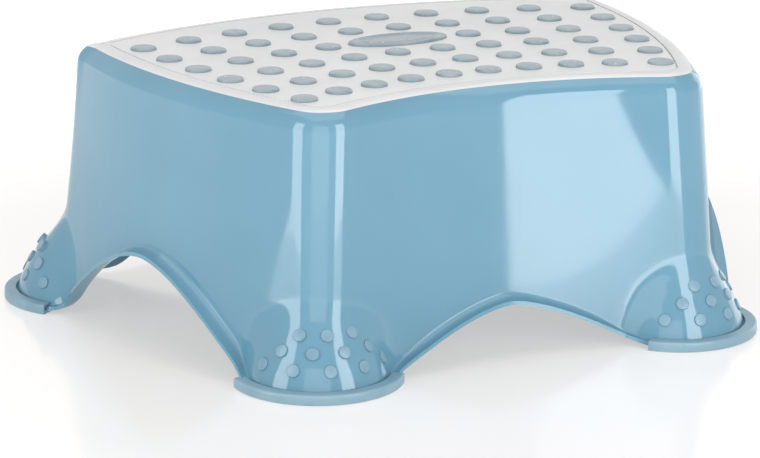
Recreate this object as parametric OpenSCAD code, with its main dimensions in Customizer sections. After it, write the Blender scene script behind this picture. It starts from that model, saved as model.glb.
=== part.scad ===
// One-step moulded plastic step stool on four flared feet.
// Frame: +Z up, +X along the long back edge, the concave front edge faces -Y.
// Origin: on the floor, at the middle of the outside box. Millimetres.

/* [Overall size] */
// Width over the two back feet
stool_w = 400; // [390:1:410]
// Depth from the front foot rings to the lip of the back wall
stool_d = 280; // [275:1:286]
// Height from the floor to the top of the tread studs
stool_h = 140; // [130:1:160]

/* [Deck outline] */
// Half distance between the centres of the front deck corners
front_corner_x = 95; // [92:0.5:98]
// Half distance between the centres of the back deck corners
back_corner_x = 131; // [127:0.5:134]
// Radius of the front deck corners
front_corner_r = 23.5; // [20:0.5:25]
// Radius of the back deck corners
back_corner_r = 25.5; // [22:0.5:27]
// How far the middle of the front edge is drawn in behind its corners
front_hollow = 19.5; // [16:0.5:22]
// How far the middle of the back edge stands out past its corners
back_crown = 25; // [20:0.5:28]
// Radius of the curved side edges at the deck
side_edge_r = 400; // [350:10:600]

/* [Shell] */
// Wall thickness of the moulded shell
wall_t = 2.6; // [2.2:0.1:3.2]
// Radius of the rounded shoulder between wall and deck
shoulder_r = 10; // [8:0.5:11]
// Width of the rim that stands out along the front and back arches
rim_w = 6; // [5:0.5:8]
// Width of the rim along the two side arches
side_rim_w = 8; // [6:0.5:10]
// Thickness of the free edge of the rim
rim_t = 2; // [1.8:0.1:2.6]
// Height of the front arch
front_arch_h = 27; // [20:1:32]
// Height of the two side arches
side_arch_h = 47.5; // [35:0.5:50]
// Height of the back arch
back_arch_h = 32; // [20:1:38]

/* [Feet] */
// Outer radius of a foot ring
ring_r = 44; // [42:0.5:45]
// Height of a foot ring
ring_h = 5.2; // [5:0.1:6]
// Radius of the foot cone where it meets its ring
cone_r = 36.5; // [35.5:0.5:37]
// Diameter of the small grip discs on the feet
foot_stud_d = 6.6; // [5:0.2:7.4]

/* [Tread] */
// Diameter of the round grip studs of the deck
deck_stud_d = 13.5; // [10:0.5:15]
// Height of the studs above the deck
deck_stud_rise = 1.5; // [1:0.1:2]
// Length of the oval pad in the middle of the tread
badge_l = 57; // [45:1:60]
// Width of the oval pad
badge_w = 25; // [18:1:27]

/* [Hidden] */

// Colours
body_blue = [0.53, 0.70, 0.79];
deck_white = [0.88, 0.88, 0.89];
stud_blue = [0.67, 0.76, 0.80];
ring_blue = [0.62, 0.75, 0.82];

// Feet: centres of the rings, and how the cone narrows with height
front_foot = [102.5, -(stool_d / 2 - ring_r)];
back_foot = [stool_w / 2 - ring_r, stool_d / 2 - ring_r - 8];
cone_slope = 0.24;
cone_curve = 0.0132;
cone_top_z = 60;
fillet_r = [7, 13];
fillet_growth = 0.25;

// Shell levels and the two plan outlines that the wall runs between
deck_z = stool_h - deck_stud_rise;
wall_top_z = deck_z - shoulder_r;
cover_t = 2.2;
seam_angle = 60;
plate_t = 2.4;
top_front_y = front_foot[1] + 12;
top_back_y = back_foot[1] - 14;
floor_back_corner = [back_foot[0] - 6.5, back_foot[1] - 6];
floor_corner_r = [22, 25];
floor_front_hollow = 12;
floor_back_crown = 30;
floor_side_r = 290;
sole_z = 1.5;
foot_rim_w = 4.8;
foot_fillet_h = 0.6;
rim_fillet_h = 3;

// Arches: where each one starts, and how round its top is
front_arch_x = 70;
back_arch_x = 132;
side_arch_y = [front_foot[1] + 6, back_foot[1] - 30];
arch_blend = 5;
front_arch_power = 1.5;
side_arch_power = 1.8;
back_arch_power = 2.2;

// Tread: mat in its pocket, studs on arcs around one centre
border_w = 2.5;
groove_w = 0.8;
mat_t = 1.2;
stud_rows = 6;
stud_columns = 10;
stud_arc_y = back_foot[1] - 404;
first_row_r = 399;
row_pitch = 28;
badge_y = 26;
badge_rise = 2;
hole_gap = 0.15;

// Foot rings and the discs on the cones
ring_half_angle = [75, 70];
ring_heading = [[-71, -62], [31.5, 31.5]];
ring_floor_t = sole_z;
ring_clearance = 0.3;
ring_wall_t = 2;
ring_inner_r = 33;
stud_heading = [[-77, -64], [37, 37]];
foot_stud_step = 32;
foot_stud_rows = [[3, 29.5, 24.6, 36], [4, 21.7, 29.3, 31], [5, 13.8, 33.4, 24]];
foot_stud_rise = 1;
foot_stud_root = 1.6;

// Fineness of the lofted surfaces
edge_steps = [10, 7, 16, 8, 16];
fillet_steps = 5;
wall_steps = 13;
shoulder_steps = 6;
inner_steps = 8;
$fn = 64;

function dir(a) = [cos(a), sin(a)];
function heading(v) = atan2(v[1], v[0]);
function mix(a, b, k) = a + (b - a) * k;
function smooth(k) = let (c = min(1, max(0, k))) c * c * (3 - 2 * c);
// Larger of two lengths, with a round transition of width k between them
function soft_max(a, b, k) =
    max(a, b) + (abs(a - b) < k ? pow(k - abs(a - b), 2) / (4 * k) : 0);

// Centre of the side arc that touches both corner circles from inside
function side_centre(a, ra, b, rb, r) = let (
        da = r - ra, db = r - rb, v = b - a, d = norm(v),
        along = (da * da - db * db + d * d) / (2 * d),
        across = sqrt(da * da - along * along),
        u = v / d)
    a + along * u + across * [-u[1], u[0]];

// Right half of an outline as [point, heading of the outward normal],
// from the middle of the front edge to the middle of the back edge
function half_outline(a, ra, b, rb, hollow, crown, rs) = let (
        front_y = a[1] - ra + hollow,
        back_y = b[1] + rb + crown,
        rf = (a[0] * a[0] + pow(a[1] - front_y, 2) - ra * ra) / (2 * hollow),
        rk = (b[0] * b[0] + pow(b[1] - back_y, 2) - rb * rb) / (2 * crown),
        f = [0, front_y - rf], k = [0, back_y - rk],
        s = side_centre(a, ra, b, rb, rs),
        to_front = heading(a - f),
        to_side = heading(a - s), from_side = heading(b - s),
        to_back = heading(b - k))
    concat(
        arc_run(f, rf, 90, to_front, 180, edge_steps[0], true, "end"),
        arc_run(a, ra, to_front - 180, to_side, 0, edge_steps[1], true, "even"),
        arc_run(s, rs, to_side, from_side, 0, edge_steps[2], true, "both"),
        arc_run(b, rb, from_side, to_back, 0, edge_steps[3], true, "even"),
        arc_run(k, rk, to_back, 90, 0, edge_steps[4], false, "start"));

// Points along one arc; closeness packs them towards its start, its end or both
function arc_run(c, r, a0, a1, turn, n, open, closeness) =
    [for (i = [0 : open ? n - 1 : n]) let (h = mix(a0, a1, ease(i / n, closeness)))
        [c + r * dir(h), h - turn]];
function ease(k, closeness) =
    closeness == "end" ? sin(90 * k)
    : closeness == "start" ? 1 - cos(90 * k)
    : closeness == "both" ? (1 - cos(180 * k)) / 2
    : k;

function mirrored(half) = concat(half,
    [for (i = [len(half) - 2 : -1 : 1])
        [[-half[i][0][0], half[i][0][1]], 180 - half[i][1]]]);

top_outline = mirrored(half_outline(
    [front_corner_x, top_front_y], front_corner_r,
    [back_corner_x, top_back_y], back_corner_r,
    front_hollow, back_crown, side_edge_r));
floor_outline = mirrored(half_outline(
    front_foot, floor_corner_r[0], floor_back_corner, floor_corner_r[1],
    floor_front_hollow, floor_back_crown, floor_side_r));
columns = len(top_outline);

function wall_normal(i, z) = dir(mix(floor_outline[i][1], top_outline[i][1], z / deck_z));
function wall_point(i, z) = mix(floor_outline[i][0], top_outline[i][0], z / deck_z);

// Radius of a foot cone at height z
function cone_at(z) = let (t = z - ring_h) cone_r - cone_slope * t - cone_curve * t * abs(t);

// Distance of a point x outside the wall from the wall and the nearest foot cone,
// run together with a round fillet
function skin_gap(p, n, z, x) = let (
        near = p[1] < 0 ? front_foot : back_foot,
        centre = [p[0] < 0 ? -near[0] : near[0], near[1]],
        a = norm(p + x * n - centre) - max(0, cone_at(z)),
        k = min(fillet_r[1], fillet_r[0] + fillet_growth * max(0, z - ring_h)),
        h = max(0, k - abs(a - x)))
    min(a, x) - h * h / (4 * k);

// Where that distance is zero, by halving the stretch between low and high
function bulge(p, n, z, low = 0, high = 32, halvings = 15) = let (
        x = (low + high) / 2)
    halvings == 0 ? x
    : skin_gap(p, n, z, x) > 0 ? bulge(p, n, z, low, x, halvings - 1)
    : bulge(p, n, z, x, high, halvings - 1);

function skin(i, z, out) = let (
        p = wall_point(i, z), n = wall_normal(i, z),
        x = z < cone_top_z ? bulge(p, n, z) : 0)
    [p[0] + (x + out) * n[0], p[1] + (x + out) * n[1], z];

// Height of the bottom edge above the sole, column by column
function arch(s, h, power) = soft_max(h * (1 - pow(abs(s), power)), 0, arch_blend);
function on_front(p) = p[1] < side_arch_y[0] && abs(p[0]) < front_foot[0];
function on_back(p) = p[1] > side_arch_y[1] && abs(p[0]) < floor_back_corner[0];
function edge_lift(i) = let (
        p = floor_outline[i][0],
        side_mid = (side_arch_y[0] + side_arch_y[1]) / 2,
        side_half = (side_arch_y[1] - side_arch_y[0]) / 2)
    on_front(p) ? arch(p[0] / front_arch_x, front_arch_h, front_arch_power)
    : on_back(p) ? arch(p[0] / back_arch_x, back_arch_h, back_arch_power)
    : arch((p[1] - side_mid) / side_half, side_arch_h, side_arch_power);
lifts = [for (i = [0 : columns - 1]) edge_lift(i)];
function edge_z(i) = sole_z + lifts[i];
function rim_at(i) = let (
        p = floor_outline[i][0],
        w = on_front(p) || on_back(p) ? rim_w : side_rim_w)
    mix(foot_rim_w, w, smooth(lifts[i] / 14));
function fillet_at(i) = mix(foot_fillet_h, rim_fillet_h, smooth(lifts[i] / 14));

// Rings of points from the free edge of the rim up to the top of the wall
function rim_ring(q) = [for (i = [0 : columns - 1]) let (w = rim_at(i))
    skin(i, edge_z(i) + rim_t + fillet_at(i) * (1 - cos(q)), w * (1 - sin(q)))];
function wall_ring(k) = [for (i = [0 : columns - 1])
    skin(i, mix(edge_z(i) + rim_t + fillet_at(i), wall_top_z, pow(k, 1.3)), 0)];
function shoulder_ring(q) = [for (i = [0 : columns - 1])
    skin(i, wall_top_z + shoulder_r * sin(q), -shoulder_r * (1 - cos(q)))];
function level_ring(z, inset) = [for (i = [0 : columns - 1]) skin(i, z, -inset)];
function under_ring(q) = [for (i = [0 : columns - 1]) let (w = rim_at(i))
    skin(i, edge_z(i) + (rim_t + fillet_at(i)) * (1 - cos(q)), w - (w + wall_t) * sin(q))];
function lining_ring(k, top) = [for (i = [0 : columns - 1])
    skin(i, mix(edge_z(i) + rim_t + fillet_at(i), top, pow(k, 1.3)), -wall_t)];
function at_height(ring, z) = [for (p = ring) [p[0], p[1], z]];

// Closed solid through a stack of rings, with a fan at each end
module loft(rings, first_tip, last_tip) {
    n = columns;
    m = len(rings);
    points = concat([for (r = rings) each r], [first_tip, last_tip]);
    sides = [for (j = [0 : m - 2], i = [0 : n - 1]) let (
            a = j * n + i, b = j * n + (i + 1) % n, c = a + n, d = b + n)
        each [[a, c, b], [b, c, d]]];
    first_fan = [for (i = [0 : n - 1]) [i, (i + 1) % n, m * n]];
    last_fan = [for (i = [0 : n - 1])
        [(m - 1) * n + (i + 1) % n, (m - 1) * n + i, m * n + 1]];
    polyhedron(points, concat(sides, first_fan, last_fan), convexity = 8);
}

// Blue one-piece moulding: walls, rims, foot cones and the plate under the deck
module shell() {
    plate_z = deck_z - cover_t;
    lining_z = plate_z - plate_t;
    inner_r = shoulder_r - wall_t;
    outside = concat(
        [rim_ring(0)],
        [for (j = [1 : fillet_steps]) rim_ring(90 * j / fillet_steps)],
        [for (j = [1 : wall_steps]) wall_ring(j / wall_steps)],
        [for (j = [1 : shoulder_steps]) shoulder_ring(seam_angle * j / shoulder_steps)],
        [at_height(shoulder_ring(seam_angle), plate_z)]);
    inside = concat(
        [for (j = [0 : fillet_steps]) under_ring(90 * j / fillet_steps)],
        [for (j = [1 : inner_steps]) lining_ring(j / inner_steps, lining_z - inner_r)],
        [for (j = [1 : shoulder_steps]) let (q = 90 * j / shoulder_steps)
            level_ring(lining_z - inner_r * (1 - sin(q)), wall_t + inner_r * (1 - cos(q)))]);
    inside_down = [for (j = [len(inside) - 1 : -1 : 0]) inside[j]];
    color(body_blue)
        loft(concat(inside_down, outside), [0, 0, lining_z], [0, 0, plate_z]);
}

// White panel let into the top of the shoulder, with a shallow pocket for the mat
module deck_cover() {
    plate_z = deck_z - cover_t;
    pocket_z = deck_z - mat_t;
    pocket_inset = shoulder_r + border_w;
    rings = concat(
        [at_height(shoulder_ring(seam_angle), plate_z)],
        [for (j = [0 : shoulder_steps]) shoulder_ring(mix(seam_angle, 90, j / shoulder_steps))],
        [at_height(level_ring(deck_z, pocket_inset), deck_z),
         at_height(level_ring(deck_z, pocket_inset), pocket_z)]);
    color(deck_white)
        loft(rings, [0, 0, plate_z], [0, 0, pocket_z]);
}

function stud_pitch(row) = let (t = stud_rows - 1 - row) 22.5 + 2.2 * t - 0.17 * t * t;
function stud_place(row, column) = let (
        x = (column - (stud_columns - 1) / 2) * stud_pitch(row),
        r = first_row_r - row * row_pitch)
    [x, stud_arc_y + sqrt(r * r - x * x)];
// The oval pad takes the place of the two middle studs of the third row
function is_stud(row, column) = row != 2 || abs(column - (stud_columns - 1) / 2) > 1;

module at_deck_studs() {
    for (row = [0 : stud_rows - 1], column = [0 : stud_columns - 1])
        if (is_stud(row, column))
            translate(stud_place(row, column)) children();
}

module oval(l, w) {
    scale([l / w, 1]) circle(d = w);
}

// White mat that lies in the pocket, punched for the studs and the oval pad
module tread_mat() {
    outline = [for (p = level_ring(deck_z, shoulder_r + border_w + groove_w)) [p[0], p[1]]];
    color(deck_white)
        translate([0, 0, deck_z - mat_t])
        linear_extrude(mat_t)
        difference() {
            polygon(outline);
            at_deck_studs() circle(d = deck_stud_d + 2 * hole_gap);
            translate([0, badge_y]) oval(badge_l + 2 * hole_gap, badge_w + 2 * hole_gap);
        }
}

// Round-edged disc of soft plastic
module disc(d, h, edge) {
    rotate_extrude() polygon(concat(
        [[0, 0], [d / 2, 0]],
        [for (q = [0 : 30 : 90]) [d / 2 - edge * (1 - cos(q)), h - edge * (1 - sin(q))]],
        [[0, h]]));
}

module deck_studs() {
    color(stud_blue)
        translate([0, 0, deck_z - mat_t])
        at_deck_studs() disc(deck_stud_d, mat_t + deck_stud_rise, 0.6);
}

// Plain raised oval pad in the tread
module badge_pad() {
    color(stud_blue)
        translate([0, badge_y, deck_z - mat_t])
        linear_extrude(mat_t + badge_rise - 0.5)
        oval(badge_l, badge_w);
}

module sector(r0, r1, half_angle) {
    steps = 24;
    angles = [for (i = [0 : steps]) mix(-half_angle, half_angle, i / steps)];
    polygon(concat(
        [for (a = angles) r1 * dir(a)],
        [for (i = [steps : -1 : 0]) r0 * dir(angles[i])]));
}

// Open soft ring that grips the rim of a foot from outside
module foot_ring(side, back) {
    foot = back ? back_foot : front_foot;
    half_angle = ring_half_angle[back ? 1 : 0];
    grip_r = ring_r - ring_wall_t;
    grip_top_z = sole_z + rim_t + ring_clearance;
    color(ring_blue)
        translate([side * foot[0], foot[1], 0])
        mirror([side < 0 ? 1 : 0, 0, 0])
        rotate(ring_heading[back ? 1 : 0][side < 0 ? 0 : 1])
        union() {
            linear_extrude(ring_floor_t) sector(ring_inner_r, ring_r, half_angle);
            linear_extrude(ring_h) sector(grip_r, ring_r, half_angle);
            translate([0, 0, grip_top_z])
                linear_extrude(ring_h - grip_top_z)
                sector(cone_r + 1.2, ring_r, half_angle);
        }
}

// Three rows of small discs on a foot cone: how many, at what height and radius, and their lean
module foot_studs(side, back) {
    foot = back ? back_foot : front_foot;
    color(stud_blue)
        translate([side * foot[0], foot[1], 0])
        mirror([side < 0 ? 1 : 0, 0, 0])
        for (row = foot_stud_rows, i = [0 : row[0] - 1]) {
            turn = (i - (row[0] - 1) / 2) * foot_stud_step;
            rotate(stud_heading[back ? 1 : 0][side < 0 ? 0 : 1] + turn)
                translate([row[2], 0, row[1]])
                rotate([0, 90 - row[3], 0])
                translate([0, 0, -foot_stud_root])
                disc(foot_stud_d, foot_stud_root + foot_stud_rise, 0.45);
        }
}

module foot_ring_front_left() { foot_ring(-1, false); }
module foot_ring_front_right() { foot_ring(1, false); }
module foot_ring_back_left() { foot_ring(-1, true); }
module foot_ring_back_right() { foot_ring(1, true); }
module foot_studs_front_left() { foot_studs(-1, false); }
module foot_studs_front_right() { foot_studs(1, false); }
module foot_studs_back_left() { foot_studs(-1, true); }
module foot_studs_back_right() { foot_studs(1, true); }

shell();
deck_cover();
tread_mat();
deck_studs();
badge_pad();
foot_ring_front_left();
foot_ring_front_right();
foot_ring_back_left();
foot_ring_back_right();
foot_studs_front_left();
foot_studs_front_right();
foot_studs_back_left();
foot_studs_back_right();
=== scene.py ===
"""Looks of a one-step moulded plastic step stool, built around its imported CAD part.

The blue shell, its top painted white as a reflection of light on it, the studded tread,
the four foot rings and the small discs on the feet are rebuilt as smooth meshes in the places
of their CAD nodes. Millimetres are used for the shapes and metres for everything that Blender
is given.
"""

import math

import bpy
import numpy as np
from mathutils import Matrix, Vector


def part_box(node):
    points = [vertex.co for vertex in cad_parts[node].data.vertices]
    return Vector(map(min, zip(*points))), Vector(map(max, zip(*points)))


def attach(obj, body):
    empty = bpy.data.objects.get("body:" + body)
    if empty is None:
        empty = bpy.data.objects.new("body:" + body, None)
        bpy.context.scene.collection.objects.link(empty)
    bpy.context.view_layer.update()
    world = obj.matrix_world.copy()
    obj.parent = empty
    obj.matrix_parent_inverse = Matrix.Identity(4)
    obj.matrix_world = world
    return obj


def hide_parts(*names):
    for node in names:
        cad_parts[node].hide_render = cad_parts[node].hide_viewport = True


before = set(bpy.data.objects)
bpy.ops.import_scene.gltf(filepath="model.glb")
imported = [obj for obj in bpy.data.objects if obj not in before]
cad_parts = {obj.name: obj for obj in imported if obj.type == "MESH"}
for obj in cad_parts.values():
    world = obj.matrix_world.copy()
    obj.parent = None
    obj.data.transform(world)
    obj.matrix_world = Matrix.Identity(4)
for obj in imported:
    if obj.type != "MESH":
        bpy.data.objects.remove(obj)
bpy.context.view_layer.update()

MM = 0.001
SIDES = {"left": -1, "right": 1}


def box_mm(node):
    low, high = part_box(node)
    return np.array(low) / MM, np.array(high) / MM


# ---------------------------------------------------------------- sizes, in millimetres
ring_low, ring_high = box_mm("foot_ring_front_right")
back_ring_high = box_mm("foot_ring_back_right")[1]
ring_r = 44.0
ring_h = ring_high[2]
front_foot = np.array([ring_high[0] - ring_r, ring_low[1] + ring_r])
back_foot = back_ring_high[:2] - ring_r
cone_r = 36.5
cone_slope = 0.24
cone_curve = 0.0132
fillet_r = (7.0, 13.0)
fillet_growth = 0.25
cone_reach = 32.0

deck_z = box_mm("tread_mat")[1][2]
stud_top_z = box_mm("deck_studs")[1][2]
cover_t = 2.2
mat_t = 1.2
wall_t = 2.6
plate_t = 2.4
shoulder_r = 10.0
seam_angle = 60.0
wall_top_z = deck_z - shoulder_r
border_w = 2.5
groove_w = 0.8

TOP_FRONT = ((95.0, front_foot[1] + 12), 23.5, 19.5)
TOP_BACK = ((131.0, back_foot[1] - 14), 25.5, 25.0)
TOP_SIDE_R = 400.0
FLOOR_FRONT = (tuple(front_foot), 22.0, 12.0)
FLOOR_BACK = ((back_foot[0] - 6.5, back_foot[1] - 6), 25.0, 30.0)
FLOOR_SIDE_R = 290.0

sole_z = 1.5
rim_t = 2.0
rim_w = 6.0
side_rim_w = 8.0
foot_rim_w = 4.8
rim_fillet_h = 3.0
foot_fillet_h = 0.6
rim_full_lift = 14.0
arch_blend = 5.0
front_arch = (70.0, 27.0, 1.5)
back_arch = (132.0, 32.0, 2.2)
side_arch = (front_foot[1] + 6, back_foot[1] - 30, 47.5, 1.8)


# ---------------------------------------------------------------- outlines and surfaces
def smooth(k):
    c = np.clip(k, 0, 1)
    return c * c * (3 - 2 * c)


def soft_max(a, b, width):
    """The larger of two lengths, with a round transition between them."""
    gap = np.clip(width - np.abs(a - b), 0, None)
    return np.maximum(a, b) + gap * gap / (4 * width)


def heading(v):
    return math.degrees(math.atan2(v[1], v[0]))


def side_centre(a, ra, b, rb, r):
    """Centre of the side arc that touches both corner circles from inside."""
    da, db, v = r - ra, r - rb, b - a
    d = np.linalg.norm(v)
    along = (da * da - db * db + d * d) / (2 * d)
    across = math.sqrt(da * da - along * along)
    u = v / d
    return a + along * u + across * np.array([-u[1], u[0]])


def arc_run(centre, r, a0, a1, turn, count, ends):
    """Points along one arc as rows of x, y and outward heading; ends packs them there."""
    k = np.arange(count) / count
    ease = {
        "end": np.sin(np.radians(90 * k)),
        "start": 1 - np.cos(np.radians(90 * k)),
        "both": (1 - np.cos(np.radians(180 * k))) / 2,
        "even": k,
    }[ends]
    h = a0 + (a1 - a0) * (0.5 * ease + 0.5 * k)
    along = np.radians(h)
    return np.stack(
        [centre[0] + r * np.cos(along), centre[1] + r * np.sin(along), h - turn], axis=1
    )


def outline(front, back, side_r, steps=(30, 20, 64, 24, 48)):
    """Closed outline, from the middle of the front edge round the right side."""
    (a, ra, hollow), (b, rb, crown) = front, back
    a, b = np.array(a, float), np.array(b, float)
    front_y, back_y = a[1] - ra + hollow, b[1] + rb + crown
    rf = (a[0] ** 2 + (a[1] - front_y) ** 2 - ra**2) / (2 * hollow)
    rk = (b[0] ** 2 + (b[1] - back_y) ** 2 - rb**2) / (2 * crown)
    f, k = np.array([0, front_y - rf]), np.array([0, back_y - rk])
    s = side_centre(a, ra, b, rb, side_r)
    to_front, to_back = heading(a - f), heading(b - k)
    to_side, from_side = heading(a - s), heading(b - s)
    half = np.concatenate(
        [
            arc_run(f, rf, 90, to_front, 180, steps[0], "end"),
            arc_run(a, ra, to_front - 180, to_side, 0, steps[1], "even"),
            arc_run(s, side_r, to_side, from_side, 0, steps[2], "both"),
            arc_run(b, rb, from_side, to_back, 0, steps[3], "even"),
            arc_run(k, rk, to_back, 90, 0, steps[4], "start"),
        ]
    )
    middle = np.array([[0, back_y, 90.0]])
    other = half[:0:-1] * [-1, 1, -1] + [0, 0, 180]
    return np.concatenate([half, middle, other])


TOP = outline(TOP_FRONT, TOP_BACK, TOP_SIDE_R)
FLOOR = outline(FLOOR_FRONT, FLOOR_BACK, FLOOR_SIDE_R)
COLUMNS = len(TOP)


def cone_at(z):
    t = z - ring_h
    return cone_r - cone_slope * t - cone_curve * t * np.abs(t)


def bulge(p, n, z):
    """How far a foot cone stands out of the wall at points p with normals n and heights z.

    Wall and cone run together with a round fillet; the place is found by halving.
    """
    centre = np.where(p[:, 1:] < 0, front_foot, back_foot)
    centre = centre * np.stack([np.where(p[:, 0] < 0, -1, 1), np.ones(len(p))], axis=1)
    radius = np.maximum(0, cone_at(z))
    width = np.clip(fillet_r[0] + fillet_growth * (z - ring_h), *fillet_r)
    low, high = np.zeros(len(p)), np.full(len(p), cone_reach)
    for _ in range(24):
        x = (low + high) / 2
        a = np.linalg.norm(p + x[:, None] * n - centre, axis=1) - radius
        h = np.clip(width - np.abs(a - x), 0, None)
        outside = np.minimum(a, x) - h * h / (4 * width) > 0
        high = np.where(outside, x, high)
        low = np.where(outside, low, x)
    return x


def skin(z, out):
    """One ring of points on the outside of the shell at heights z, pushed out by out."""
    z = np.broadcast_to(np.asarray(z, float), (COLUMNS,))
    k = (z / deck_z)[:, None]
    at = FLOOR + (TOP - FLOOR) * k
    n = np.stack([np.cos(np.radians(at[:, 2])), np.sin(np.radians(at[:, 2]))], axis=1)
    return np.column_stack([at[:, :2] + (bulge(at[:, :2], n, z) + out)[:, None] * n, z])


def arch(s, height, power):
    return soft_max(height * (1 - np.abs(s) ** power), 0, arch_blend)


def edge_lift(on_front, on_back):
    """Height of the bottom edge above the sole, column by column."""
    x, y = FLOOR[:, 0], FLOOR[:, 1]
    start, end, height, power = side_arch
    side = arch((y - (start + end) / 2) / ((end - start) / 2), height, power)
    front = arch(x / front_arch[0], *front_arch[1:])
    back = arch(x / back_arch[0], *back_arch[1:])
    return np.where(on_front, front, np.where(on_back, back, side))


ON_FRONT = (FLOOR[:, 1] < side_arch[0]) & (np.abs(FLOOR[:, 0]) < front_foot[0])
ON_BACK = (FLOOR[:, 1] > side_arch[1]) & (np.abs(FLOOR[:, 0]) < FLOOR_BACK[0][0])
LIFT = edge_lift(ON_FRONT, ON_BACK)
EDGE_Z = sole_z + LIFT
ARCH_RIM_W = np.where(ON_FRONT | ON_BACK, rim_w, side_rim_w)
RIM_W = foot_rim_w + (ARCH_RIM_W - foot_rim_w) * smooth(LIFT / rim_full_lift)
FILLET_H = foot_fillet_h + (rim_fillet_h - foot_fillet_h) * smooth(LIFT / rim_full_lift)
FOOT_Z = EDGE_Z + rim_t + FILLET_H


def turn(q):
    return math.sin(math.radians(q)), math.cos(math.radians(q))


def rim_ring(q):
    s, c = turn(q)
    return skin(EDGE_Z + rim_t + FILLET_H * (1 - c), RIM_W * (1 - s))


def under_ring(q):
    s, c = turn(q)
    return skin(EDGE_Z + (rim_t + FILLET_H) * (1 - c), RIM_W - (RIM_W + wall_t) * s)


def wall_ring(k, top, out):
    return skin(FOOT_Z + (top - FOOT_Z) * k**1.3, out)


def shoulder_ring(q, shrink=0.0):
    s, c = turn(q)
    return skin(wall_top_z + shoulder_r * s, -shoulder_r * (1 - c) - shrink)


# ---------------------------------------------------------------- mesh building
def make_mesh(name, points, faces, sharp_angle=40):
    """A smooth-shaded mesh from points in millimetres, with hard edges past sharp_angle."""
    mesh = bpy.data.meshes.new(name)
    mesh.from_pydata((np.asarray(points) * MM).tolist(), [], faces)
    mesh.update()
    mesh.shade_smooth()
    mesh.set_sharp_from_angle(angle=math.radians(sharp_angle))
    piece = bpy.data.objects.new(name, mesh)
    bpy.context.scene.collection.objects.link(piece)
    return piece


def band_faces(ring_count, columns, start=0):
    faces = []
    for j in range(ring_count - 1):
        low = start + j * columns
        for i in range(columns):
            k = (i + 1) % columns
            faces.append((low + i, low + k, low + columns + k, low + columns + i))
    return faces


def loft(name, rings, **options):
    """A closed solid through a stack of rings of equal length, capped at both ends."""
    columns = len(rings[0])
    faces = band_faces(len(rings), columns)
    last = (len(rings) - 1) * columns
    faces.append(tuple(range(columns - 1, -1, -1)))
    faces.append(tuple(range(last, last + columns)))
    return make_mesh(name, np.concatenate(rings), faces, **options)


def place(piece, slot, material, *nodes):
    """Rides a piece on the stool's one body, in the place of its CAD nodes."""
    piece.data.materials.clear()
    piece.data.materials.append(material)
    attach(piece, "root")
    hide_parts(*nodes)


def shell_body():
    plate_z = deck_z - cover_t
    lining_z = plate_z - plate_t
    inner_r = shoulder_r - wall_t
    inside = [under_ring(90 * j / 8) for j in range(9)]
    inside += [wall_ring(j / 26, lining_z - inner_r, -wall_t) for j in range(1, 27)]
    for j in range(1, 7):
        s, c = turn(90 * j / 6)
        inside.append(skin(lining_z - inner_r * (1 - s), -wall_t - inner_r * (1 - c)))
    outside = [rim_ring(90 * j / 12) for j in range(13)]
    outside += [wall_ring(j / 44, wall_top_z, 0) for j in range(1, 45)]
    outside += [shoulder_ring(seam_angle * j / 12) for j in range(1, 13)]
    top = outside[-1].copy()
    top[:, 2] = plate_z
    return loft("shell_body", inside[::-1] + outside + [top])


def deck_panel():
    plate_z, pocket_z = deck_z - cover_t, deck_z - mat_t
    foot = shoulder_ring(seam_angle)
    foot[:, 2] = plate_z
    rings = [foot]
    rings += [shoulder_ring(seam_angle + (90 - seam_angle) * j / 10) for j in range(11)]
    lip = skin(deck_z, -shoulder_r - border_w)
    pocket = lip.copy()
    pocket[:, 2] = pocket_z
    return loft("deck_panel", rings + [lip, pocket])


# ---------------------------------------------------------------- tread: mat, studs, badge
stud_rows, stud_columns = 6, 10
stud_r = 13.5 / 2
stud_edge = 0.7
stud_arc_y = back_foot[1] - 404
first_row_r, row_pitch = 399.0, 28.0
hole_gap = 0.15
badge_low, badge_high = box_mm("badge_pad")
badge_at = (badge_low[:2] + badge_high[:2]) / 2
badge_half = (badge_high[:2] - badge_low[:2]) / 2


def stud_place(row, column):
    t = stud_rows - 1 - row
    x = (column - (stud_columns - 1) / 2) * (22.5 + 2.2 * t - 0.17 * t * t)
    r = first_row_r - row * row_pitch
    return x, stud_arc_y + math.sqrt(r * r - x * x)


def is_stud(row, column):
    return row != 2 or abs(column - (stud_columns - 1) / 2) > 1


STUDS = [
    stud_place(row, column)
    for row in range(stud_rows)
    for column in range(stud_columns)
    if is_stud(row, column)
]


def quarter(r, h, edge, steps):
    """Profile points of a rounded rim, from the side up onto the top."""
    return [(r - edge * (1 - turn(q)[1]), h - edge * (1 - turn(q)[0]))
            for q in np.linspace(0, 90, steps)]


def turned(profile, segments, stretch=1.0):
    """Points and faces of a profile of (radius, height) turned about Z, open at the foot."""
    a = np.linspace(0, 2 * math.pi, segments, endpoint=False)
    rings = [np.stack([r * stretch * np.cos(a), r * np.sin(a), np.full(segments, h)], 1)
             for r, h in profile]
    points = np.concatenate(rings + [[[0, 0, profile[-1][1]]]])
    faces = band_faces(len(profile), segments)
    last, tip = (len(profile) - 1) * segments, len(points) - 1
    faces += [(last + i, last + (i + 1) % segments, tip) for i in range(segments)]
    faces.append(tuple(range(segments - 1, -1, -1)))
    return points, faces


def many(name, shape, places, **options):
    """One mesh that holds a copy of a shape at each 3 x 4 placement."""
    points, faces = shape
    all_points, all_faces = [], []
    for count, (turn3, move) in enumerate(places):
        all_points.append(points @ np.array(turn3).T + move)
        shift = count * len(points)
        all_faces += [tuple(shift + i for i in face) for face in faces]
    return make_mesh(name, np.concatenate(all_points), all_faces, **options)


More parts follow.
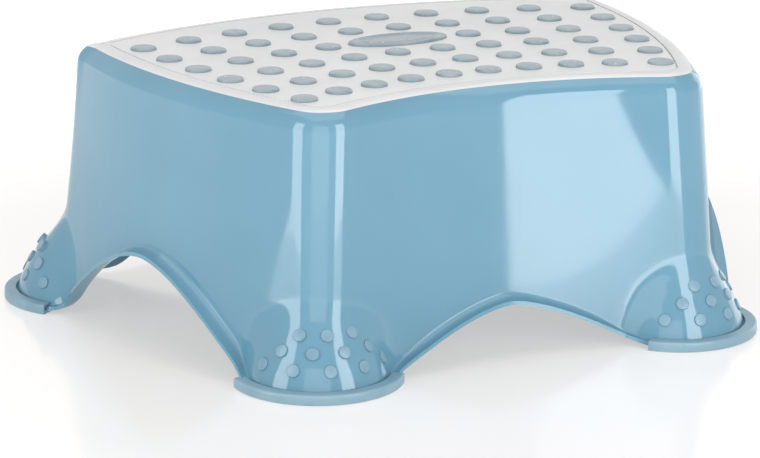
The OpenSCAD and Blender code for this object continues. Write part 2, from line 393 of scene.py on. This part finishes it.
def deck_studs():
    rise = stud_top_z - deck_z
    crown = 0.12
    low = [(stud_r, 0.0), (stud_r, mat_t)]
    rim = quarter(stud_r, mat_t + rise - crown, stud_edge, 7)
    dome = [(rim[-1][0] * k, mat_t + rise - crown * k * k) for k in (0.92, 0.7, 0.4, 0.15)]
    shape = turned(low + rim + dome, 48)
    places = [(np.eye(3), np.array([x, y, deck_z - mat_t])) for x, y in STUDS]
    return many("deck_grip_studs", shape, places)


def badge_pad():
    """Oval pad with a rounded edge and a face that sinks a little inside its border."""
    r, h = badge_half[1], badge_high[2] - (deck_z - mat_t)
    stretch = badge_half[0] / badge_half[1]
    edge, border, sink = 0.7, 1.6, 0.3
    rim = quarter(r, h, edge, 8)
    face = [(r - edge - border, h), (r - 1.1 - border, h - sink), (r * 0.4, h - sink)]
    points, faces = turned([(r, 0.0), (r, mat_t)] + rim + face, 128, stretch)
    points = points + [badge_at[0], badge_at[1], deck_z - mat_t]
    return make_mesh("badge_oval", points, faces)


def tread_mat():
    """Flat mat in its pocket, with a round hole for each stud and one for the oval pad."""
    edge = skin(deck_z, -shoulder_r - border_w - groove_w)[:, :2]
    loops = [edge]
    a = np.linspace(0, 2 * math.pi, 48, endpoint=False)
    circle = np.stack([np.cos(a), np.sin(a)], axis=1)
    loops += [circle * (stud_r + hole_gap) + at for at in STUDS]
    loops.append(circle * (badge_half + hole_gap) + badge_at)
    bevel = 0.15
    curve = bpy.data.curves.new("mat_outline", "CURVE")
    curve.dimensions = "2D"
    curve.fill_mode = "BOTH"
    curve.extrude = (mat_t / 2 - bevel) * MM
    curve.bevel_depth = bevel * MM
    curve.bevel_resolution = 2
    curve.offset = -bevel * MM
    for loop in loops:
        spline = curve.splines.new("POLY")
        spline.points.add(len(loop) - 1)
        flat = np.zeros((len(loop), 4))
        flat[:, :2] = np.asarray(loop) * MM
        flat[:, 3] = 1
        spline.points.foreach_set("co", flat.ravel())
        spline.use_cyclic_u = True
    outline_piece = bpy.data.objects.new("mat_outline", curve)
    bpy.context.scene.collection.objects.link(outline_piece)
    bpy.context.view_layer.update()
    graph = bpy.context.evaluated_depsgraph_get()
    mesh = bpy.data.meshes.new_from_object(outline_piece.evaluated_get(graph))
    bpy.data.objects.remove(outline_piece)
    mesh.transform(Matrix.Translation((0, 0, (deck_z - mat_t / 2) * MM)))
    mesh.name = "tread_surface"
    piece = bpy.data.objects.new("tread_surface", mesh)
    bpy.context.scene.collection.objects.link(piece)
    mesh.shade_smooth()
    mesh.set_sharp_from_angle(angle=math.radians(30))
    return piece


# ---------------------------------------------------------------- feet: rings and discs
ring_half_angle = {"front": 75, "back": 70}
ring_heading = {("front", "left"): -71, ("front", "right"): -62,
                ("back", "left"): 31.5, ("back", "right"): 31.5}
ring_wall_t = 2.0
ring_inner_r = 33.0
ring_floor_t = sole_z
ring_clearance = 0.3
ring_lip_gap = 1.2
disc_heading = {("front", "left"): -77, ("front", "right"): -64,
                ("back", "left"): 37, ("back", "right"): 37}
disc_rows = ((3, 29.5, 24.6, 36), (4, 21.7, 29.3, 31), (5, 13.8, 33.4, 24))
disc_step = 32.0
disc_r, disc_rise, disc_root = 3.3, 1.0, 1.6


def about_z(degrees):
    """Matrix of a turn about the upright axis."""
    s, c = turn(degrees)
    return np.array([[c, -s, 0], [s, c, 0], [0, 0, 1]])


def foot_at(end, side):
    foot = front_foot if end == "front" else back_foot
    return np.array([SIDES[side] * foot[0], foot[1], 0])


def foot_ring(end, side):
    """Open soft ring: a U-shaped section, rounded at its edges, swept round the foot."""
    grip_r = ring_r - ring_wall_t
    lip_r = cone_r + ring_lip_gap
    lip_z = sole_z + rim_t + ring_clearance
    e = 0.5
    section = [(ring_inner_r, 0), (ring_r - e, 0), (ring_r - 0.15, 0.15), (ring_r, e),
               (ring_r, ring_h - 1.3), (ring_r - 0.12, ring_h - 0.75),
               (ring_r - 0.45, ring_h - 0.3), (ring_r - 0.9, ring_h - 0.06),
               (ring_r - 1.4, ring_h), (lip_r + 0.3, ring_h), (lip_r, ring_h - 0.3),
               (lip_r, lip_z), (grip_r, lip_z), (grip_r, ring_floor_t),
               (ring_inner_r, ring_floor_t)]
    count = len(section)
    steps = 96
    half = ring_half_angle[end]
    rings = []
    for j in range(steps + 1):
        s, c = turn(-half + 2 * half * j / steps)
        rings.append([(r * c, r * s, z) for r, z in section])
    spin = about_z(ring_heading[end, side])
    flip = np.diag([SIDES[side], 1, 1])
    points = np.concatenate(rings) @ (flip @ spin).T + foot_at(end, side)
    faces = band_faces(steps + 1, count)
    faces.append(tuple(range(count - 1, -1, -1)))
    faces.append(tuple(steps * count + i for i in range(count)))
    if SIDES[side] > 0:
        faces = [face[::-1] for face in faces]
    return make_mesh(f"ring_{end}_{side}", points, faces, sharp_angle=35)


def foot_discs(end, side):
    """Rows of small domed discs let into a foot cone."""
    low = [(disc_r, 0.0), (disc_r, disc_root + disc_rise - 0.55)]
    rim = quarter(disc_r, disc_root + disc_rise - 0.2, 0.5, 6)
    dome = [(rim[-1][0] * k, disc_root + disc_rise - 0.2 * k * k) for k in (0.85, 0.55, 0.25)]
    shape = turned(low + rim + dome, 32)
    flip = np.diag([SIDES[side], 1, 1])
    places = []
    for count, z, radius, lean in disc_rows:
        s, c = turn(90 - lean)
        tilt = np.array([[c, 0, s], [0, 1, 0], [-s, 0, c]])
        root = np.array([radius, 0, z]) - tilt @ [0, 0, disc_root]
        for i in range(count):
            spin = about_z(disc_heading[end, side] + (i - (count - 1) / 2) * disc_step)
            places.append((flip @ spin @ tilt, flip @ spin @ root + foot_at(end, side)))
    piece = many(f"discs_{end}_{side}", shape, places)
    if SIDES[side] < 0:
        piece.data.flip_normals()
    return piece


# ---------------------------------------------------------------- materials
def linear(r, g, b):
    """sRGB values from 0 to 1 as a linear colour."""
    return tuple(c / 12.92 if c <= 0.04045 else ((c + 0.055) / 1.055) ** 2.4
                 for c in (r, g, b)) + (1.0,)


def new_material(name, roughness, **sockets):
    """A Principled material and its node tree, with uniform values set on its sockets."""
    material = bpy.data.materials.new(name)
    material.use_nodes = True
    tree = material.node_tree
    shader = tree.nodes["Principled BSDF"]
    shader.inputs["Roughness"].default_value = roughness
    for socket, value in sockets.items():
        shader.inputs[socket.replace("_", " ")].default_value = value
    return material, tree, shader


def noise(tree, scale, detail=2.0, roughness=0.5):
    """A noise texture in object space; scale is in features per metre."""
    where = tree.nodes.new("ShaderNodeTexCoord")
    texture = tree.nodes.new("ShaderNodeTexNoise")
    texture.inputs["Scale"].default_value = scale
    texture.inputs["Detail"].default_value = detail
    texture.inputs["Roughness"].default_value = roughness
    tree.links.new(where.outputs["Object"], texture.inputs["Vector"])
    return texture.outputs["Fac"]


def ramp(tree, factor, *stops):
    """Colour along a factor; each stop is (position, linear colour)."""
    node = tree.nodes.new("ShaderNodeValToRGB")
    elements = node.color_ramp.elements
    while len(elements) < len(stops):
        elements.new(0.5)
    for element, (position, colour) in zip(elements, stops):
        element.position = position
        element.color = colour
    tree.links.new(factor, node.inputs["Fac"])
    return node.outputs["Color"]


def grey(value):
    return (value, value, value, 1.0)


def add_bump(tree, shader, height, distance, strength):
    bump = tree.nodes.new("ShaderNodeBump")
    bump.inputs["Distance"].default_value = distance * MM
    bump.inputs["Strength"].default_value = strength
    tree.links.new(height, bump.inputs["Height"])
    tree.links.new(bump.outputs["Normal"], shader.inputs["Normal"])


def moulded(name, dark, light, gloss, patch_scale, grain_scale, grain_depth, **sockets):
    """Moulded plastic or rubber: faint colour patches, uneven gloss and a fine grain."""
    material, tree, shader = new_material(name, gloss[0], **sockets)
    patches = noise(tree, patch_scale, 3)
    colour = ramp(tree, patches, (0.3, dark), (0.7, light))
    tree.links.new(colour, shader.inputs["Base Color"])
    shine = ramp(tree, noise(tree, patch_scale * 2.3, 4),
                 (0.25, grey(gloss[0])), (0.75, grey(gloss[1])))
    tree.links.new(shine, shader.inputs["Roughness"])
    add_bump(tree, shader, noise(tree, grain_scale, 3), grain_depth, 1.0)
    return material


shell_plastic = moulded(
    "shell_plastic", linear(0.375, 0.555, 0.64), linear(0.395, 0.575, 0.66), (0.05, 0.09),
    14, 90, 0.02, IOR=1.5)
# Near-white deck: painted reflection, the glare of light on the top set into its base colour
deck_plastic = moulded(
    "deck_plastic", linear(0.83, 0.83, 0.835), linear(0.86, 0.86, 0.86), (0.20, 0.28),
    20, 260, 0.02, IOR=1.48)
# Near-white mat: painted reflection, the glare of light on the top set into its base colour
mat_plastic = moulded(
    "mat_plastic", linear(0.86, 0.86, 0.865), linear(0.89, 0.89, 0.89), (0.32, 0.42),
    24, 1400, 0.03, IOR=1.46)
stud_rubber = moulded(
    "stud_rubber", linear(0.50, 0.58, 0.62), linear(0.59, 0.64, 0.66), (0.16, 0.30),
    90, 900, 0.03, IOR=1.5)
ring_rubber = moulded(
    "ring_rubber", linear(0.46, 0.59, 0.65), linear(0.52, 0.64, 0.70), (0.30, 0.42),
    60, 1100, 0.05, IOR=1.48)
disc_rubber = moulded(
    "disc_rubber", linear(0.42, 0.56, 0.63), linear(0.49, 0.62, 0.69), (0.28, 0.42),
    120, 900, 0.03, IOR=1.48)


# ---------------------------------------------------------------- the stool
place(shell_body(), "shell_plastic", shell_plastic, "shell")
place(deck_panel(), "deck_plastic", deck_plastic, "deck_cover")
place(tread_mat(), "mat_plastic", mat_plastic, "tread_mat")
place(deck_studs(), "stud_rubber", stud_rubber, "deck_studs")
place(badge_pad(), "stud_rubber", stud_rubber, "badge_pad")
for end in ("front", "back"):
    for side in SIDES:
        place(foot_ring(end, side), "ring_rubber", ring_rubber, f"foot_ring_{end}_{side}")
        place(foot_discs(end, side), "foot_stud_rubber", disc_rubber,
              f"foot_studs_{end}_{side}")


# ---------------------------------------------------------------- camera
def place_camera():
    """Long lens, low and to the left of the concave front edge."""
    azimuth, elevation, roll = math.radians(-25.634), math.radians(15.703), -0.00653
    target = Vector((-63.32, -85.64, 70.0)) * MM
    distance = 1.62788
    back = Vector((math.sin(azimuth) * math.cos(elevation),
                   -math.cos(azimuth) * math.cos(elevation), math.sin(elevation)))
    right = Vector((math.cos(azimuth), math.sin(azimuth), 0))
    up = back.cross(right)
    s, c = math.sin(roll), math.cos(roll)
    data = bpy.data.cameras.new("camera")
    data.lens, data.sensor_width = 153.95, 36.0
    camera = bpy.data.objects.new("camera", data)
    bpy.context.scene.collection.objects.link(camera)
    x, y = right * c - up * s, up * c + right * s
    turned_to = Matrix((x, y, back)).transposed().to_4x4()
    camera.matrix_world = Matrix.Translation(target + back * distance) @ turned_to
    bpy.context.scene.camera = camera


place_camera()


# ---------------------------------------------------------------- floor and light
def softbox(name, azimuth, distance, width, height, base_z, radiance):
    """Upright rectangular light round the stool, facing it; azimuth 0 is in front of it."""
    a = math.radians(azimuth)
    data = bpy.data.lights.new(name, "AREA")
    data.shape = "RECTANGLE"
    data.size, data.size_y = width, height
    data.energy = radiance * math.pi * width * height
    light = bpy.data.objects.new(name, data)
    bpy.context.scene.collection.objects.link(light)
    light.location = (distance * math.sin(a), -distance * math.cos(a), base_z + height / 2)
    light.rotation_euler = (math.radians(90), 0, a)
    light.visible_camera = False
    return light


def studio():
    """White room, soft lights round and above the stool, and a pale floor.

    The floor glows as painted light: dim and warm round the stool, a painted shadow pool,
    and brighter with distance so that it fades to white.
    """
    scene = bpy.context.scene
    scene.view_settings.view_transform = "Standard"
    world = bpy.data.worlds.new("studio")
    world.use_nodes = True
    background = world.node_tree.nodes["Background"]
    background.inputs["Color"].default_value = grey(1.0)
    background.inputs["Strength"].default_value = 0.25
    scene.world = world

    softbox("key_right", 12.5, 0.66, 0.23, 0.50, 0.0, 6.2)
    softbox("key_left", -76, 0.66, 0.23, 0.50, 0.0, 5.0)
    softbox("front_fill", -27, 1.1, 0.75, 0.7, 0.0, 1.5)
    softbox("back_fill", 108, 1.1, 0.6, 0.6, 0.0, 1.4)
    overhead = softbox("overhead", 0, 0.0, 1.6, 1.6, 0.6, 1.4)
    overhead.rotation_euler = (0, 0, 0)  # facing straight down

    material, tree, shader = new_material("floor", 0.14, IOR=1.4)
    tree.links.new(ramp(tree, noise(tree, 3, 2), (0.3, grey(0.38)), (0.7, grey(0.42))),
                   shader.inputs["Base Color"])
    shader.inputs["Emission Strength"].default_value = 1.0
    where = tree.nodes.new("ShaderNodeTexCoord")
    away = tree.nodes.new("ShaderNodeVectorMath")
    away.operation = "LENGTH"
    tree.links.new(where.outputs["Object"], away.inputs[0])
    # Emission colour: painted shadow, dim and warm near the stool, brightening to white
    # further out
    painted_shadow_glow = ramp(tree, away.outputs["Value"], (0.27, (0.50, 0.48, 0.465, 1.0)),
                (0.86, grey(0.88)))
    tree.links.new(painted_shadow_glow, shader.inputs["Emission Color"])
    bpy.ops.mesh.primitive_circle_add(vertices=96, radius=11, fill_type="NGON",
                                      location=(0, 0, -0.0002))
    floor = bpy.context.object
    floor.name = "floor"
    floor.data.materials.append(material)

    material, tree, shader = new_material("backdrop", 1.0)
    shader.inputs["Base Color"].default_value = grey(0.0)
    shader.inputs["Emission Color"].default_value = grey(1.0)
    shader.inputs["Emission Strength"].default_value = 1.0
    bpy.ops.mesh.primitive_uv_sphere_add(segments=48, ring_count=24, radius=12)
    backdrop = bpy.context.object
    backdrop.name = "backdrop"
    backdrop.data.materials.append(material)
    backdrop.visible_diffuse = False
    backdrop.visible_shadow = False


studio()
